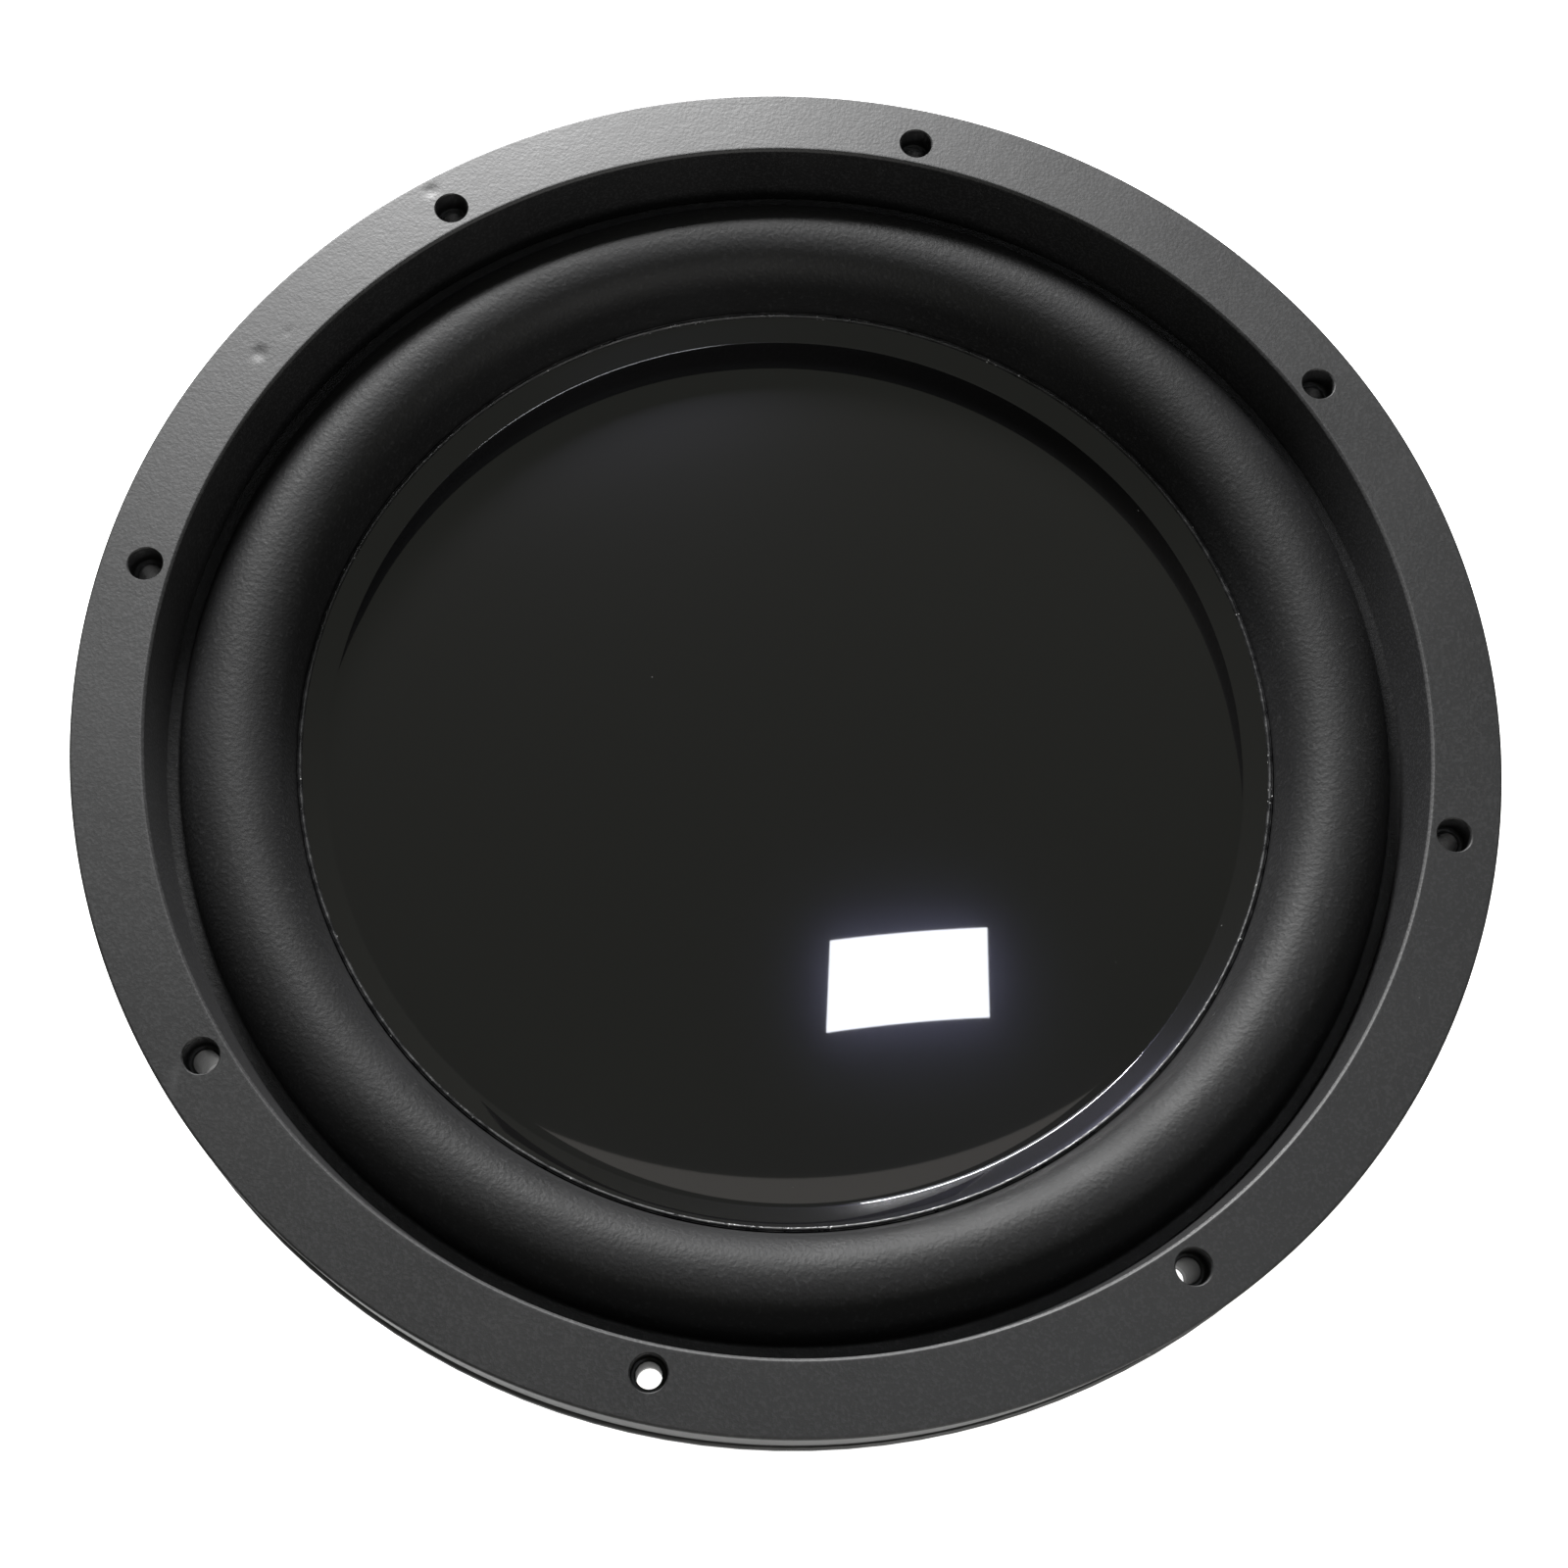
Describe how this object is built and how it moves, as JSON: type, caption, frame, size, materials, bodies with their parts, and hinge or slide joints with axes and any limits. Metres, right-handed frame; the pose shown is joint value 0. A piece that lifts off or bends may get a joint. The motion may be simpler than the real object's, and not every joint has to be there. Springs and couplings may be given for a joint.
{
  "type": "car subwoofer speaker",
  "caption": "Car subwoofer driver: cone with a glossy dome cover in a half-roll surround, tall trim ring, spoked basket, ferrite motor in a rubber boot and push terminals.",
  "frame": {"origin": "centre of the bolt circle on the rear face of the mounting flange, where the baffle's front surface is", "axes": "+Z out of the front, towards the listener; +X through the right-hand terminal block"},
  "size_m": [0.32, 0.32, 0.177],
  "materials": {
    "basket_paint": "satin black powder coat",
    "trim_plastic": "fine grained matte black",
    "surround_rubber": "satin rubber",
    "cap_gloss": "high gloss black",
    "glue": "cured glue",
    "cone_pulp": "black pulp",
    "former": "bare aluminium sheet",
    "copper": "enamelled copper",
    "spider_cloth": "treated woven cloth",
    "plate_steel": "black plated steel",
    "ferrite": "sintered ferrite",
    "bare_aluminium": "machined",
    "screen_steel": "woven wire",
    "boot_rubber": "matte rubber",
    "bolt_steel": "black zinc",
    "terminal_plastic": "moulded black",
    "button_red": "red plastic",
    "button_black": "black plastic",
    "spring_steel": "drawn wire",
    "contact_brass": "plated",
    "lead_braid": "braided tinsel wire"
  },
  "bodies": {
    "chassis": {"basket": "basket_paint", "button_spring_black_left": "spring_steel", "button_spring_black_right": "spring_steel", "button_spring_red_left": "spring_steel", "button_spring_red_right": "spring_steel", "copper_pole_sleeve": "copper", "front_magnet": "ferrite", "magnet_boot": "boot_rubber", "motor_bolts": "bolt_steel", "rear_magnet": "ferrite", "shorting_ring": "bare_aluminium", "spider": "spider_cloth", "surround": "surround_rubber", "t_yoke": "plate_steel", "terminal_block_left": "terminal_plastic", "terminal_block_right": "terminal_plastic", "terminal_screws_left": "bolt_steel", "terminal_screws_right": "bolt_steel", "tinsel_lead_black_left": "lead_braid", "tinsel_lead_black_right": "lead_braid", "tinsel_lead_red_left": "lead_braid", "tinsel_lead_red_right": "lead_braid", "top_plate": "plate_steel", "trim_ring": "trim_plastic", "vent_screen": "screen_steel", "wire_contact_black_left": "contact_brass", "wire_contact_black_right": "contact_brass", "wire_contact_red_left": "contact_brass", "wire_contact_red_right": "contact_brass"},
    "cone_assembly": {"dust_cap": "cap_gloss", "cap_glue_bead": "glue", "cone": "cone_pulp", "neck_glue_ring": "glue", "lead_anchor_collar": "glue", "voice_coil_former": "former", "inner_coil_winding": "copper", "outer_coil_winding": "copper"},
    "push_button_red_right": {"push_button_red_right": "button_red"},
    "push_button_black_right": {"push_button_black_right": "button_black"},
    "push_button_red_left": {"push_button_red_left": "button_red"},
    "push_button_black_left": {"push_button_black_left": "button_black"}
  },
  "joints": [
    {"name": "cone_travel", "type": "slide", "parent": "chassis", "child": "cone_assembly", "axis": [0, 0, 1], "range_m": [-0.012, 0.012], "stiffness_N_per_m": 7000, "deforming": ["surround", "spider", "tinsel_lead_red_right", "tinsel_lead_black_right", "tinsel_lead_red_left", "tinsel_lead_black_left"]},
    {"name": "push_red_right", "type": "slide", "parent": "chassis", "child": "push_button_red_right", "axis": [0, 0, 1], "range_m": [0, 0.003], "stiffness_N_per_m": 300, "springref_m": -0.002, "deforming": ["button_spring_red_right"]},
    {"name": "push_black_right", "type": "slide", "parent": "chassis", "child": "push_button_black_right", "axis": [0, 0, 1], "range_m": [0, 0.003], "stiffness_N_per_m": 300, "springref_m": -0.002, "deforming": ["button_spring_black_right"]},
    {"name": "push_red_left", "type": "slide", "parent": "chassis", "child": "push_button_red_left", "axis": [0, 0, 1], "range_m": [0, 0.003], "stiffness_N_per_m": 300, "springref_m": -0.002, "deforming": ["button_spring_red_left"]},
    {"name": "push_black_left", "type": "slide", "parent": "chassis", "child": "push_button_black_left", "axis": [0, 0, 1], "range_m": [0, 0.003], "stiffness_N_per_m": 300, "springref_m": -0.002, "deforming": ["button_spring_black_left"]}
  ]
}
